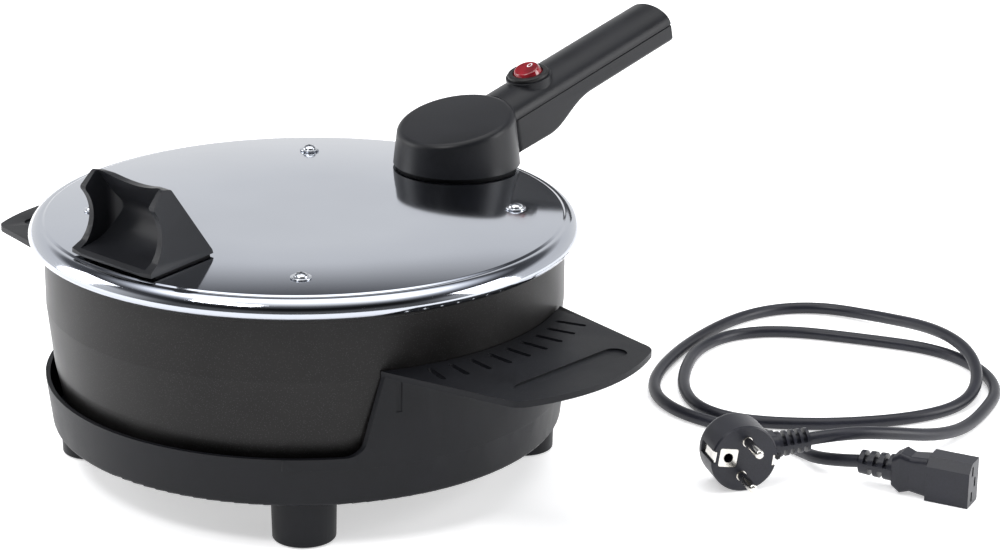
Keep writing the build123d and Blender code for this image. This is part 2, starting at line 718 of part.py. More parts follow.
rocker_plane = Plane(
    origin=along(0, SWITCH_AT, PIVOT), x_dir=(1, 0, 0),
    z_dir=(0, -sin(radians(HANDLE_SLOPE + REST_TILT)), cos(radians(HANDLE_SLOPE + REST_TILT))))
with BuildPart() as switch_rocker:
    with BuildSketch(rocker_plane.offset(-4.0)):
        Circle(BALL)
    extrude(amount=9.4)
    with Locations(rocker_plane):
        Sphere(BALL, mode=Mode.INTERSECT)
    fillet(switch_rocker.edges().sort_by(Axis(rocker_plane.origin, rocker_plane.z_dir))[-1],
           radius=0.9)
save(switch_rocker, "switch_rocker")

with BuildPart() as switch_lamp:
    with BuildSketch(handle_plane.offset(2.7)):
        with Locations((0, SWITCH_AT)):
            Circle(2.0)
    extrude(amount=1.7)
save(switch_lamp, "switch_lamp")

with BuildPart() as switch_terminals:
    with BuildSketch(handle_plane.offset(-7)):
        with Locations((-5.5, SWITCH_AT), (0, SWITCH_AT), (5.5, SWITCH_AT)):
            Rectangle(0.8, 4.8)
    extrude(amount=-6.5)
save(switch_terminals, "switch_terminals")

# ---------------------------------------------------------------- mains inlet
INLET_BACK = 152.0
INLET_FLOOR = 155.0
OPENING_LOW, OPENING_HIGH, OPENING_HALF, OPENING_CHAMFER = -9.0, 6.8, 12.1, 6.0
with BuildPart() as inlet_body:
    add(arch(HANDLE_HALF - HANDLE_WALL - 0.15, ARCH_HEIGHT - HANDLE_WALL - 0.15,
             INLET_BACK, HANDLE_END).part)
    with BuildSketch(section_plane(HANDLE_END)):
        with Locations((0, (-HANDLE_DEPTH + 1.5) / 2)):
            Rectangle(2 * (HANDLE_HALF - HANDLE_WALL - 0.15), HANDLE_DEPTH - 1.5)
    extrude(amount=HANDLE_END - INLET_BACK)
    with BuildSketch(section_plane(HANDLE_END)) as inlet_mouth:
        with BuildLine():
            Polyline(
                (-OPENING_HALF, OPENING_LOW),
                (OPENING_HALF, OPENING_LOW),
                (OPENING_HALF, OPENING_HIGH - OPENING_CHAMFER),
                (OPENING_HALF - OPENING_CHAMFER, OPENING_HIGH),
                (-OPENING_HALF + OPENING_CHAMFER, OPENING_HIGH),
                (-OPENING_HALF, OPENING_HIGH - OPENING_CHAMFER),
                close=True,
            )
        make_face()
    extrude(amount=HANDLE_END - INLET_FLOOR, mode=Mode.SUBTRACT)
    with BuildSketch(section_plane(INLET_FLOOR)):
        with Locations((-7, -2.8), (7, -2.8), (0, 1.2)):
            Rectangle(2.1, 4.1)
    extrude(amount=INLET_FLOOR - INLET_BACK, mode=Mode.SUBTRACT)
save(inlet_body, "inlet_body")

with BuildPart() as inlet_pins:
    with BuildSketch(section_plane(HANDLE_END - 3)):
        with Locations((-7, -2.8), (7, -2.8), (0, 1.2)):
            Rectangle(2.0, 4.0)
    extrude(amount=HANDLE_END - 3 - 148.5)
save(inlet_pins, "inlet_pins")

# ---------------------------------------------------------------- terminals and inner wires
with BuildPart() as terminal_block:
    with BuildSketch(Plane.XY.offset(139.5)):
        with Locations((0, 94.5)):
            Rectangle(30, 11)
        with Locations(*ELEMENT_ENDS):
            Circle(ELEMENT_TUBE + 0.1, mode=Mode.SUBTRACT)
    extrude(amount=7)
save(terminal_block, "terminal_block")

with BuildPart() as terminal_links:
    with Locations(*[(x, y, ELEMENT_TOP) for x, y in ELEMENT_ENDS]):
        Box(6, 8, 1, align=(Align.CENTER, Align.CENTER, Align.MIN))
save(terminal_links, "terminal_links")

with BuildPart() as earth_tab:
    with Locations((20, 122, LID_TOP)):
        Box(0.8, 6.4, 8, align=(Align.CENTER, Align.CENTER, Align.MIN))
save(earth_tab, "earth_tab")


def rounded(points, share=0.45):
    """The radius of each corner's arc: share of the shorter run over the half-turn's tangent."""
    spots = [Vector(*p) for p in points]
    radii = []
    for before, here, after in zip(spots, spots[1:], spots[2:]):
        run_in, run_out = here - before, after - here
        shorter = min(run_in.length, run_out.length)
        radii.append(share * shorter / tan(radians(run_in.get_angle(run_out) / 2)))
    return radii


def tube(points, radius):
    """A round tube along straight runs joined by tangent arcs."""
    with BuildPart() as made:
        with BuildLine() as path:
            FilletPolyline(*points, radius=rounded(points))
        start = Vector(*points[0])
        with BuildSketch(Plane(origin=start, z_dir=Vector(*points[1]) - start)):
            Circle(radius)
        sweep(path=path.wires()[0])
    return made


WIRE = 1.2
save(tube([along(*p) for p in (
    (7, 148.2, -2.8), (6.5, 120, -3.5), (5, 95, -7.4), (1, 79, -11.4), (0, 65.8, -11))], WIRE),
    "wire_live")
save(tube([along(*p) for p in (
    (5.5, 60.2, -11), (5.6, 48, -10), (6, 39, 2.5), (6.4, 20, 4), (8.5, -4, 5),
    (10, -16.8, 2.9))], WIRE), "wire_switched")
save(tube([along(*p) for p in (
    (-7, 148.2, -2.8), (-11, 120, -4), (-12.4, 90, -4.4), (-12.2, 50, -4), (-10, 38, 3.4),
    (-9, 18, 4), (-9.6, -4, 4.6), (-10, -16.8, 2.9))], WIRE), "wire_neutral")
save(tube([along(*p) for p in (
    (0, 147.4, 1.2), (11, 134, 2), (12.2, 90, 0), (12.3, 50, -2), (11.5, 38, 3.2),
    (14, 20, 0), (18.6, 9.5, -6.5))], WIRE), "wire_earth")

# ---------------------------------------------------------------- mains lead: plug
plug_back = PLUG_PINS * -1
neck_flat = Vector(-PLUG_PINS.Y, PLUG_PINS.X, 0)
roll_cos, roll_sin = cos(radians(PLUG_ROLL)), sin(radians(PLUG_ROLL))
# pin_line joins the two pins; earth_side points to the earth hole, away from the neck
pin_line = Vector(0, 0, 1) * roll_cos + neck_flat * roll_sin
earth_side = neck_flat * -roll_cos + Vector(0, 0, 1) * roll_sin
plug_face = Plane(origin=PLUG_FACE, x_dir=earth_side, z_dir=PLUG_PINS)
rise = radians(NECK_RISE)
neck_axis = neck_flat * cos(rise) + Vector(0, 0, 1) * sin(rise)
neck_start = PLUG_FACE + plug_back * NECK_SET_BACK
PIN_PITCH = 19.0
PIN_RADIUS = 2.4
PIN_ROOT = 2.8
PIN_LENGTH = 19.0
EARTH_OFFSET = 10.3
CLIP_AT = PLUG_RADIUS - 1.3


def neck_plane(reach):
    """Square to the plug's neck at this reach from the plug's middle."""
    return Plane(origin=neck_start + neck_axis * reach, x_dir=plug_back, z_dir=neck_axis)


with BuildPart() as plug_body:
    with BuildSketch(plug_face):
        Circle(PLUG_RADIUS)
    extrude(amount=-PLUG_DEPTH)
    ends = plug_body.edges().sort_by(Axis(PLUG_FACE, PLUG_PINS))
    fillet(ends[0], radius=5)
    chamfer(ends[-1], length=0.8)
    with BuildSketch(neck_plane(0)):
        RectangleRounded(17.5, 16.5, 4)
    with BuildSketch(neck_plane(NECK_LENGTH)):
        RectangleRounded(16.7, 13.5, 5)
    loft()
    # the two sides' earth clips lie in long notches, the earth hole in a square pocket
    with BuildSketch(plug_face):
        with Locations((PLUG_RADIUS, 0), (-PLUG_RADIUS, 0)):
            Rectangle(5.2, 6.4)
    extrude(amount=-17, mode=Mode.SUBTRACT)
    with BuildSketch(plug_face):
        with Locations((EARTH_OFFSET - 1.2, 0)):
            RectangleRounded(10.2, 10.2, 1.2)
    extrude(amount=-1.2, mode=Mode.SUBTRACT)
    with BuildSketch(plug_face):
        with Locations((EARTH_OFFSET - 1.2, 0)):
            Circle(2.7)
    extrude(amount=-18, mode=Mode.SUBTRACT)
    with BuildSketch(plug_face):
        with Locations((0, PIN_PITCH / 2), (0, -PIN_PITCH / 2)):
            Circle(PIN_ROOT + 0.04)
    extrude(amount=-8, mode=Mode.SUBTRACT)
save(plug_body, "plug_body")

with BuildPart() as plug_pins:
    for offset in (-PIN_PITCH / 2, PIN_PITCH / 2):
        with BuildSketch(plug_face):
            with Locations((0, offset)):
                Circle(PIN_RADIUS)
        extrude(amount=PIN_LENGTH)
        with BuildSketch(plug_face):
            with Locations((0, offset)):
                Circle(PIN_ROOT)
        extrude(amount=-8)
    tips = plug_pins.edges().filter_by(GeomType.CIRCLE).group_by(Axis(PLUG_FACE, PLUG_PINS))[-1]
    fillet(tips, radius=1.6)
save(plug_pins, "plug_pins")

with BuildPart() as plug_earth_clips:
    with BuildSketch(plug_face.offset(-1.2)):
        with Locations((EARTH_OFFSET - 1.2, 0)):
            RectangleRounded(10, 10, 1.1)
            Circle(2.6, mode=Mode.SUBTRACT)
    extrude(amount=1.0)
    with BuildSketch(plug_face.offset(-16.9)):
        with Locations((CLIP_AT - 0.7, 0), (-CLIP_AT + 0.7, 0)):
            Rectangle(0.9, 5.6)
    extrude(amount=16.6)
save(plug_earth_clips, "plug_earth_clips")


def ribbed_cone(planes, radii, slots, slot_length, spine):
    """A strain relief: a tapered round with slots cut from both sides, leaving a spine."""
    with BuildPart() as made:
        for place, radius in zip(planes, radii):
            with BuildSketch(place):
                Circle(radius)
        loft()
        for place, above in slots:
            with BuildSketch(place):
                with Locations((0, (spine + radii[0]) / 2 if above else -(spine + radii[0]) / 2)):
                    Rectangle(2 * radii[0] + 2, radii[0] - spine)
                Circle(radii[1] - 2.6, mode=Mode.SUBTRACT)
            extrude(amount=slot_length, mode=Mode.SUBTRACT)
    return made


relief_slots = [
    (neck_plane(NECK_LENGTH + 2.4 + 3.9 * i), above) for i in range(4) for above in (True, False)]
save(ribbed_cone((neck_plane(NECK_LENGTH), neck_plane(NECK_LENGTH + PLUG_RELIEF)), (7.0, 6.4),
                 relief_slots, 2.2, 1.1), "plug_relief")

# ---------------------------------------------------------------- mains lead: connector
connector_out = Vector(cos(radians(CONNECTOR_AZIMUTH)), sin(radians(CONNECTOR_AZIMUTH)), 0)


def connector_plane(reach):
    """Square to the connector, reach back from its face; x to its far side, y up."""
    side = Vector(-connector_out.Y, connector_out.X, 0)
    return Plane(origin=CONNECTOR_FACE - connector_out * reach, x_dir=side,
                 z_dir=side.cross(Vector(0, 0, 1)))


half_wide, half_high = CONNECTOR_WIDE / 2, CONNECTOR_HIGH / 2
CONTACT_SPOTS = ((-2.0, -7.0), (-2.0, 7.0), (2.2, 0.0))
grip_end = CONNECTOR_BLOCK + CONNECTOR_GRIP
with BuildPart() as connector_body:
    with BuildSketch(connector_plane(0)) as nose:
        Rectangle(CONNECTOR_WIDE, CONNECTOR_HIGH)
        far_corners = nose.vertices().group_by(Axis((0, 0, 0), connector_plane(0).x_dir))[-1]
        chamfer(far_corners, length=4.4)
        near_corners = nose.vertices().group_by(Axis((0, 0, 0), connector_plane(0).x_dir))[0]
        fillet(near_corners, radius=1.2)
    into = 1 if connector_plane(0).z_dir.dot(connector_out) < 0 else -1
    extrude(amount=into * CONNECTOR_BLOCK)
    # waisted finger grip with a collar behind it
    for reach, next_reach, high, next_high, wide, next_wide in (
        (CONNECTOR_BLOCK, 33.0, 21.4, 19.4, 14.6, 13.4),
        (33.0, 38.0, 19.4, 22.6, 13.4, 14.8),
        (38.0, grip_end, 22.6, 16.6, 14.8, 14.0),
    ):
        with BuildSketch(connector_plane(reach)):
            RectangleRounded(wide, high, 3)
        with BuildSketch(connector_plane(next_reach)):
            RectangleRounded(next_wide, next_high, 3)
        loft()
    with BuildSketch(connector_plane(0)):
        with Locations(*CONTACT_SPOTS):
            Rectangle(2.2, 5.2)
    extrude(amount=into * 16, mode=Mode.SUBTRACT)
save(connector_body, "connector_body")

with BuildPart() as connector_contacts:
    with BuildSketch(connector_plane(3)):
        with Locations(*CONTACT_SPOTS):
            Rectangle(1.9, 4.8)
            Rectangle(1.1, 4.8, mode=Mode.SUBTRACT)
    extrude(amount=into * 12.6)
save(connector_contacts, "connector_contacts")

connector_slots = [(connector_plane(grip_end + 2.6 + 5.6 * i), True) for i in range(3)]
connector_slots += [(connector_plane(grip_end + 5.4 + 5.6 * i), False) for i in range(2)]
relief_planes = (connector_plane(grip_end), connector_plane(grip_end + CONNECTOR_RELIEF))
save(ribbed_cone(relief_planes, (7.3, 6.3), connector_slots, into * 2.6, 1.2),
     "connector_relief")

# ---------------------------------------------------------------- mains lead: cord
CORD_ROUTE = [
    tuple(neck_start + neck_axis * (NECK_LENGTH + PLUG_RELIEF)),
    (231.6, 173.1, 23.2), (243, 199, 18.5), (249.5, 231, 9.5), (248, 263, 3.6),
    (241.5, 293, 3.5), (230, 325, 3.5), (204, 348.5, 3.5), (167, 358.5, 3.5),
    (124, 342.5, 3.5), (79, 321, 3.5), (60, 292, 3.5), (62, 259, 3.5), (78, 228, 3.5),
    (97, 203, 3.5), (119, 187, 3.5), (143, 185, 3.5), (167, 197, 3.5), (195, 222, 3.5),
    (219, 257, 3.5), (228, 292, 3.5), (219, 322, 9), (196, 347, 17.5), (160, 365, 17.5),
    (108, 378, 5), (66, 369, 3.5), (45, 332, 3.5), (49, 274, 3.5), (66, 219, 3.5),
    (87, 187, 3.5), (115, 173, 3.5), (146, 174, 3.5), (177, 181, 3.5), (200, 175, 3.5),
    (222, 165.8, 7), tuple(connector_plane(grip_end + CONNECTOR_RELIEF).origin),
]
lead_cord = tube(CORD_ROUTE, CORD_DIAMETER / 2)
save(lead_cord, "lead_cord")
cord_radii = rounded(CORD_ROUTE)
print("cord radii", [round(r) for r in cord_radii], "smallest", round(min(cord_radii), 1))
cord_line = FilletPolyline(*CORD_ROUTE, radius=cord_radii, mode=Mode.PRIVATE)
print("cord length", round(cord_line.length, 1), "volume over section times length",
      round(lead_cord.part.volume / (cord_line.length * pi * (CORD_DIAMETER / 2) ** 2), 5))
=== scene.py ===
from math import cos, pi, radians, sin

import bmesh
import bpy
from mathutils import Matrix, Vector


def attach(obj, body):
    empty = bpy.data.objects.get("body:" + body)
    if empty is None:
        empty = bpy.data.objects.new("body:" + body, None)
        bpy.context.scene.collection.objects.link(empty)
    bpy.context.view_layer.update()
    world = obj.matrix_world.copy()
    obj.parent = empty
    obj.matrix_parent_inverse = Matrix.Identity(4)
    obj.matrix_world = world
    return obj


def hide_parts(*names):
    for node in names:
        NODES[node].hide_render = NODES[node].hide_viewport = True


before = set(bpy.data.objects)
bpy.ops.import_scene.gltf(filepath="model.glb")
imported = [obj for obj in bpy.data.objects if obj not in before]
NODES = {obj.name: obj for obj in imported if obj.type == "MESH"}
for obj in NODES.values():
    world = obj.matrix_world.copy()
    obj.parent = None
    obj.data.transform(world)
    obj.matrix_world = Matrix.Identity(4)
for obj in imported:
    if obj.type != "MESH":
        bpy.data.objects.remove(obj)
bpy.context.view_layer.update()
MM = 0.001

# ------------------------------------------------------------------ small helpers


def linear(code, alpha=1.0):
    """An sRGB hex colour as the linear colour that the shaders take."""
    parts = [int(code[i:i + 2], 16) / 255 for i in (1, 3, 5)]
    return (*[p / 12.92 if p <= 0.04045 else ((p + 0.055) / 1.055) ** 2.4 for p in parts], alpha)


def node(tree, kind, inputs=None, **settings):
    """Add one node with its settings; an input takes a value or another node's output."""
    made = tree.nodes.new(kind)
    for name, value in settings.items():
        setattr(made, name, value)
    for name, value in (inputs or {}).items():
        if isinstance(value, bpy.types.NodeSocket):
            tree.links.new(value, made.inputs[name])
        else:
            made.inputs[name].default_value = value
    return made


def ramp(tree, factor, stops):
    """A colour ramp over factor; stops are (place, hex colour)."""
    made = node(tree, "ShaderNodeValToRGB", {"Fac": factor})
    elements = made.color_ramp.elements
    elements[0].position, elements[0].color = stops[0][0], linear(stops[0][1])
    elements[1].position, elements[1].color = stops[-1][0], linear(stops[-1][1])
    for place, code in stops[1:-1]:
        elements.new(place).color = linear(code)
    return made.outputs["Color"]


def blank(name):
    """A new material with a Principled shader, its tree and its object coordinates in metres."""
    made = bpy.data.materials.new(name)
    made.use_nodes = True
    tree = made.node_tree
    tree.nodes.clear()
    shader = node(tree, "ShaderNodeBsdfPrincipled")
    node(tree, "ShaderNodeOutputMaterial", {"Surface": shader.outputs["BSDF"]})
    place = node(tree, "ShaderNodeTexCoord").outputs["Object"]
    return made, tree, shader, place


def per_mm(size):
    """A noise scale whose grains are about this many millimetres across."""
    return 1 / (size * MM)


def moulded(name, low, high, grain, rough, relief=0.12, patch=28, spread=0.06, **sockets):
    """Moulded plastic or rubber: fine spark-eroded grain, slow shade and gloss changes."""
    made, tree, shader, place = blank(name)
    cloud = node(tree, "ShaderNodeTexNoise", {
        "Vector": place, "Scale": per_mm(patch), "Detail": 3.0, "Roughness": 0.55})
    grains = node(tree, "ShaderNodeTexNoise", {
        "Vector": place, "Scale": per_mm(grain), "Detail": 4.0, "Roughness": 0.6})
    mixed = node(tree, "ShaderNodeMath", {0: cloud.outputs["Fac"], 1: grains.outputs["Fac"]},
                 operation="ADD")
    halved = node(tree, "ShaderNodeMath", {0: mixed.outputs[0], 1: 0.5}, operation="MULTIPLY")
    tree.links.new(ramp(tree, halved.outputs[0], [(0.36, low), (0.64, high)]),
                   shader.inputs["Base Color"])
    gloss = node(tree, "ShaderNodeMapRange", {
        "Value": halved.outputs[0], "From Min": 0.35, "From Max": 0.65,
        "To Min": rough - spread, "To Max": rough + spread})
    tree.links.new(gloss.outputs["Result"], shader.inputs["Roughness"])
    bump = node(tree, "ShaderNodeBump", {
        "Height": grains.outputs["Fac"], "Strength": relief, "Distance": grain * MM * 0.25})
    tree.links.new(bump.outputs["Normal"], shader.inputs["Normal"])
    for socket, value in sockets.items():
        shader.inputs[socket.replace("_", " ")].default_value = value
    return made


def metal(name, colour, dark, rough, spread=0.03, wave=60, wave_height=0.02, scratch=1.2,
          relief=0.05):
    """Bare metal: slow waviness of rolled sheet, hairline polishing marks, a little tarnish."""
    made, tree, shader, place = blank(name)
    shader.inputs["Metallic"].default_value = 1.0
    cloud = node(tree, "ShaderNodeTexNoise", {
        "Vector": place, "Scale": per_mm(wave), "Detail": 2.0, "Roughness": 0.5})
    hair = node(tree, "ShaderNodeTexNoise", {
        "Vector": place, "Scale": per_mm(scratch), "Detail": 5.0, "Roughness": 0.65})
    tree.links.new(ramp(tree, cloud.outputs["Fac"], [(0.3, dark), (0.7, colour)]),
                   shader.inputs["Base Color"])
    gloss = node(tree, "ShaderNodeMapRange", {
        "Value": hair.outputs["Fac"], "From Min": 0.35, "From Max": 0.65,
        "To Min": max(0.02, rough - spread), "To Max": rough + spread})
    tree.links.new(gloss.outputs["Result"], shader.inputs["Roughness"])
    waves = node(tree, "ShaderNodeBump", {
        "Height": cloud.outputs["Fac"], "Strength": relief, "Distance": wave_height * MM})
    marks = node(tree, "ShaderNodeBump", {
        "Height": hair.outputs["Fac"], "Strength": relief, "Distance": 0.02 * MM,
        "Normal": waves.outputs["Normal"]})
    tree.links.new(marks.outputs["Normal"], shader.inputs["Normal"])
    return made


def paint(names, material):
    """Give CAD nodes their finish."""
    for name in names:
        mesh = NODES[name].data
        mesh.materials.clear()
        mesh.materials.append(material)


# ------------------------------------------------------------------ materials
# Glass-filled polypropylene, moulded in a spark-eroded tool: satin, near black, fine grain.
STAND = moulded("satin_polypropylene", "#121316", "#191a1e", 0.55, 0.42, Specular_IOR_Level=0.17)
# Glass-filled PBT of the handles: a little lighter and smoother, soft wide highlights.
HANDLE = moulded("satin_pbt", "#151619", "#1e1f23", 0.40, 0.38, relief=0.08,
                  Specular_IOR_Level=0.22)
# Moulded nitrile rubber of pads and gaskets: dull, powdery.
RUBBER = moulded("nitrile_rubber", "#08080a", "#0e0e10", 0.7, 0.72, Specular_IOR_Level=0.2)
# Plasticised PVC of the lead: black with a cool sheen, smooth from the extruder.
PVC = moulded("plasticised_pvc", "#181920", "#23242d", 1.0, 0.38, relief=0.05,
              Specular_IOR_Level=0.35)
# Injection-moulded nylon inside switch and inlet: matt black.
NYLON = moulded("black_nylon", "#0b0b0d", "#121214", 0.5, 0.45, Specular_IOR_Level=0.35)
# Pressed mineral wool: fibrous, buff.
WOOL = moulded("mineral_wool", "#8d8058", "#cbbd92", 2.0, 0.95, relief=0.6)
# Glazed steatite of the terminal block: off-white, glossy.
STEATITE = moulded("glazed_steatite", "#d8d4ca", "#efece4", 3.0, 0.22, relief=0.03)
# Silicone sleeves of the inner wires.
BROWN = moulded("brown_silicone", "#3c2013", "#4d2b1a", 1.0, 0.42)
BLUE = moulded("blue_silicone", "#16306e", "#21428c", 1.0, 0.42)
GREEN = moulded("green_silicone", "#3f7a1e", "#c8b52c", 6.0, 0.42)
# Mirror-polished stainless sheet: bright, cool, very slightly wavy.
STEEL = metal("polished_stainless", "#b8bcc4", "#b2b6be", 0.085, spread=0.01, wave=90,
              relief=0.02)
# Zinc-plated screws and washers: bright, faintly bluish.
ZINC = metal("zinc_plate", "#d6d9de", "#b9bcc2", 0.20, wave=6)
# Nickel plate of pins, contacts and earth strips: warm, bright.
NICKEL = metal("nickel_plate", "#e2e0db", "#c9c6c0", 0.16, wave=8)
# Bright aluminium reflector, rolled.
ALUMINIUM = metal("rolled_aluminium", "#dadada", "#c4c5c6", 0.28, wave=30)
# Steel tube blued by heat.
BLUED = metal("heat_blued_steel", "#6b625c", "#39353a", 0.38, wave=14)
# Bare brass blades.
BRASS = metal("bare_brass", "#d9b66a", "#b28f48", 0.25, wave=10)


def fleck_coat():
    """Sprayed non-stick coat over aluminium: dark grey with fine lighter flecks, low sheen."""
    made, tree, shader, place = blank("flecked_nonstick")
    cloud = node(tree, "ShaderNodeTexNoise", {
        "Vector": place, "Scale": per_mm(40), "Detail": 2.0, "Roughness": 0.5})
    ground = ramp(tree, cloud.outputs["Fac"], [(0.35, "#131212"), (0.65, "#1b1a1a")])
    # flecks are drawn 0.9 mm across, coarser than the real mica, so that they show
    flecks = node(tree, "ShaderNodeTexVoronoi", {"Vector": place, "Scale": per_mm(0.9)})
    dots = node(tree, "ShaderNodeMapRange", {
        "Value": flecks.outputs["Distance"], "From Min": 0.12, "From Max": 0.3,
        "To Min": 0.35, "To Max": 0.0})
    blend = node(tree, "ShaderNodeMixRGB", {
        "Fac": dots.outputs["Result"], "Color1": ground, "Color2": linear("#4a4a4c")})
    tree.links.new(blend.outputs["Color"], shader.inputs["Base Color"])
    gloss = node(tree, "ShaderNodeMapRange", {
        "Value": cloud.outputs["Fac"], "From Min": 0.3, "From Max": 0.7,
        "To Min": 0.34, "To Max": 0.42})
    tree.links.new(gloss.outputs["Result"], shader.inputs["Roughness"])
    shader.inputs["Specular IOR Level"].default_value = 0.2
    grains = node(tree, "ShaderNodeTexNoise", {
        "Vector": place, "Scale": per_mm(0.6), "Detail": 3.0})
    bump = node(tree, "ShaderNodeBump", {
        "Height": grains.outputs["Fac"], "Strength": 0.10, "Distance": 0.12 * MM})
    tree.links.new(bump.outputs["Normal"], shader.inputs["Normal"])
    return made


def red_painted_glow():
    """Clear red acrylic of the rocker, with a soft painted glow standing in for light from the
    lamp below.
    """
    made, tree, shader, place = blank("red_acrylic_painted_glow")
    depth = node(tree, "ShaderNodeTexNoise", {
        "Vector": place, "Scale": per_mm(7), "Detail": 2.0, "Roughness": 0.5})
    colour = ramp(tree, depth.outputs["Fac"], [(0.3, "#5c0410"), (0.7, "#92101f")])
    tree.links.new(colour, shader.inputs["Base Color"])
    # painted glow: an emission ramp makes the rocker itself glow red, in place of light from the
    # lamp below
    tree.links.new(ramp(tree, depth.outputs["Fac"], [(0.3, "#8a0010"), (0.7, "#e8203a")]),
                   shader.inputs["Emission Color"])
    shader.inputs["Emission Strength"].default_value = 0.05
    gloss = node(tree, "ShaderNodeMapRange", {
        "Value": depth.outputs["Fac"], "To Min": 0.10, "To Max": 0.18})
    tree.links.new(gloss.outputs["Result"], shader.inputs["Roughness"])
    shader.inputs["Coat Weight"].default_value = 0.6
    shader.inputs["Coat Roughness"].default_value = 0.05
    return made


FLECK = fleck_coat()
RED = red_painted_glow()
LAMP = moulded("clear_lamp", "#ff9a6a", "#ffd0a8", 3.0, 0.1, relief=0.0)

paint(["stand", "foot_1", "foot_2", "foot_3", "foot_4"], STAND)
paint(["front_grip", "hub_cover", "handle_upper_shell", "handle_lower_shell"], HANDLE)
paint(["foot_pads", "grip_gasket", "hub_gasket"], RUBBER)
paint(["plug_body", "plug_relief", "connector_body", "connector_relief", "lead_cord"], PVC)
paint(["switch_housing", "inlet_body"], NYLON)
paint(["insulation_disc"], WOOL)
paint(["terminal_block"], STEATITE)
paint(["wire_live", "wire_switched"], BROWN)
paint(["wire_neutral"], BLUE)
paint(["wire_earth"], GREEN)
paint(["lid_shell"], STEEL)
paint(["lid_screws", "lid_washers", "lid_nuts", "lid_spacers", "grip_screws", "hub_screws",
       "handle_screws", "foot_screws", "element_clips"], ZINC)
paint(["plug_pins", "plug_earth_clips", "connector_contacts", "inlet_pins", "thermostat"], NICKEL)
paint(["reflector_plate"], ALUMINIUM)
paint(["heating_element"], BLUED)
paint(["terminal_links", "earth_tab", "switch_terminals"], BRASS)
paint(["pan_shell"], FLECK)
paint(["switch_rocker"], RED)
paint(["switch_lamp"], LAMP)

# ------------------------------------------------------------------ mouldings with rounded edges
WELD = 0.004  # mm, under which two corners of the same node are one
FLAT_ENOUGH = radians(1.0)  # faces closer than this are one flat
SHARP = radians(32)  # edges sharper than this are broken


def piece(name, mesh, body, stands_for):
    """Show a mesh as a piece of that body, in place of the CAD nodes it stands for."""
    made = bpy.data.objects.new(name, mesh)
    bpy.context.scene.collection.objects.link(made)
    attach(made, body)
    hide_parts(*stands_for)
    return made


def rounded_edges(name, body, radius, steps=3):
    """A welded copy of a CAD node whose sharp edges are broken by a small radius in mm."""
    source = NODES[name]
    shape = bmesh.new()
    shape.from_mesh(source.data)
    shape.transform(source.matrix_world)
    bmesh.ops.remove_doubles(shape, verts=shape.verts, dist=WELD * MM)
    bmesh.ops.dissolve_limit(shape, angle_limit=FLAT_ENOUGH, verts=shape.verts,
                             edges=shape.edges)
    mesh = bpy.data.meshes.new(name + "_moulded")
    shape.to_mesh(mesh)
    shape.free()
    mesh.materials.append(source.data.materials[0])
    made = piece(name + "_moulded", mesh, body, [name])
    bevel = made.modifiers.new("broken_edges", "BEVEL")
    bevel.width = radius * MM
    bevel.segments = steps
    bevel.limit_method = "ANGLE"
    bevel.angle_limit = SHARP
    mesh.shade_smooth()
    mesh.set_sharp_from_angle(angle=radians(40))
    return made


rounded_edges("front_grip", "lid", 2.0, steps=4)
rounded_edges("hub_cover", "lid", 0.8)
rounded_edges("handle_upper_shell", "lid", 0.5)
rounded_edges("handle_lower_shell", "lid", 0.5)
rounded_edges("stand", "stand", 0.7)

# ------------------------------------------------------------------ screws and washers
LID_TOP = 136.0
LID_SCREW_CIRCLE = 111.0
LID_SCREW_ANGLES = (45, 135, 225, 315)


